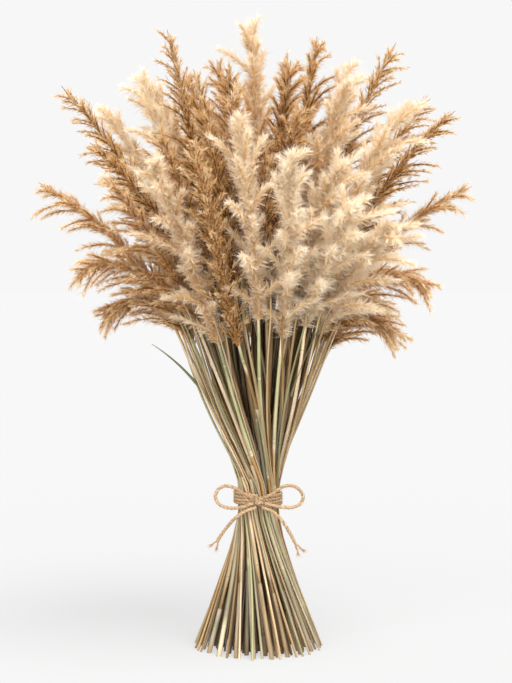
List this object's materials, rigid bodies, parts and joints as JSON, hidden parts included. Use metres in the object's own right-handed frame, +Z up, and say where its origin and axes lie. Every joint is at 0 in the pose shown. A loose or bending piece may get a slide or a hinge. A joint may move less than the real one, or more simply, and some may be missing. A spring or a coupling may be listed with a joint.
{
  "type": "dried reed bundle",
  "caption": "Bundle of dried reed plumes on bare canes, tied at the waist with jute twine in a bow, standing on its splayed cut ends.",
  "frame": {"origin": "on the surface it stands on, at the middle of the middle reed's cut end", "axes": "+Z up along the bundle, -Y towards the front, where the bow is, +X to the right seen from the front"},
  "size_m": [0.4302, 0.3636, 0.626],
  "materials": {
    "reed_cream": "matt dried plume, cream, on a straw and sage cane",
    "reed_tan": "matt dried plume, tan, on a straw and sage cane",
    "reed_golden": "matt dried plume, golden brown and sparse, on a straw and sage cane",
    "jute_twine": "matt two-ply jute twine"
  },
  "bodies": {
    "root": {"reed_01": "reed_cream", "reed_02": "reed_tan", "reed_03": "reed_golden", "reed_04": "reed_tan", "reed_05": "reed_tan", "reed_06": "reed_tan", "reed_07": "reed_tan", "reed_08": "reed_cream", "reed_09": "reed_golden", "reed_10": "reed_tan", "reed_11": "reed_tan", "reed_12": "reed_cream", "reed_13": "reed_golden", "reed_14": "reed_cream", "reed_15": "reed_tan", "reed_16": "reed_tan", "reed_17": "reed_golden", "reed_18": "reed_cream", "reed_19": "reed_golden", "reed_20": "reed_golden", "reed_21": "reed_tan", "reed_22": "reed_golden", "reed_23": "reed_golden", "reed_24": "reed_cream", "reed_25": "reed_cream", "reed_26": "reed_golden", "reed_27": "reed_golden", "reed_28": "reed_golden", "reed_29": "reed_tan", "reed_30": "reed_golden", "reed_31": "reed_golden", "reed_32": "reed_cream", "reed_33": "reed_cream", "reed_34": "reed_tan", "reed_35": "reed_tan", "reed_36": "reed_tan", "reed_37": "reed_tan", "reed_38": "reed_cream", "reed_39": "reed_golden", "reed_40": "reed_cream", "reed_41": "reed_cream", "reed_42": "reed_cream", "reed_43": "reed_cream", "reed_44": "reed_tan", "reed_45": "reed_tan", "reed_46": "reed_tan", "reed_47": "reed_tan", "reed_48": "reed_tan", "reed_49": "reed_tan", "reed_50": "reed_tan", "reed_51": "reed_cream", "reed_52": "reed_golden", "reed_53": "reed_cream", "reed_54": "reed_cream", "twine_wraps": "jute_twine", "twine_knot": "jute_twine", "twine_loop_left": "jute_twine", "twine_loop_right": "jute_twine", "twine_tail_left": "jute_twine", "twine_tail_right": "jute_twine"}
  },
  "joints": []
}
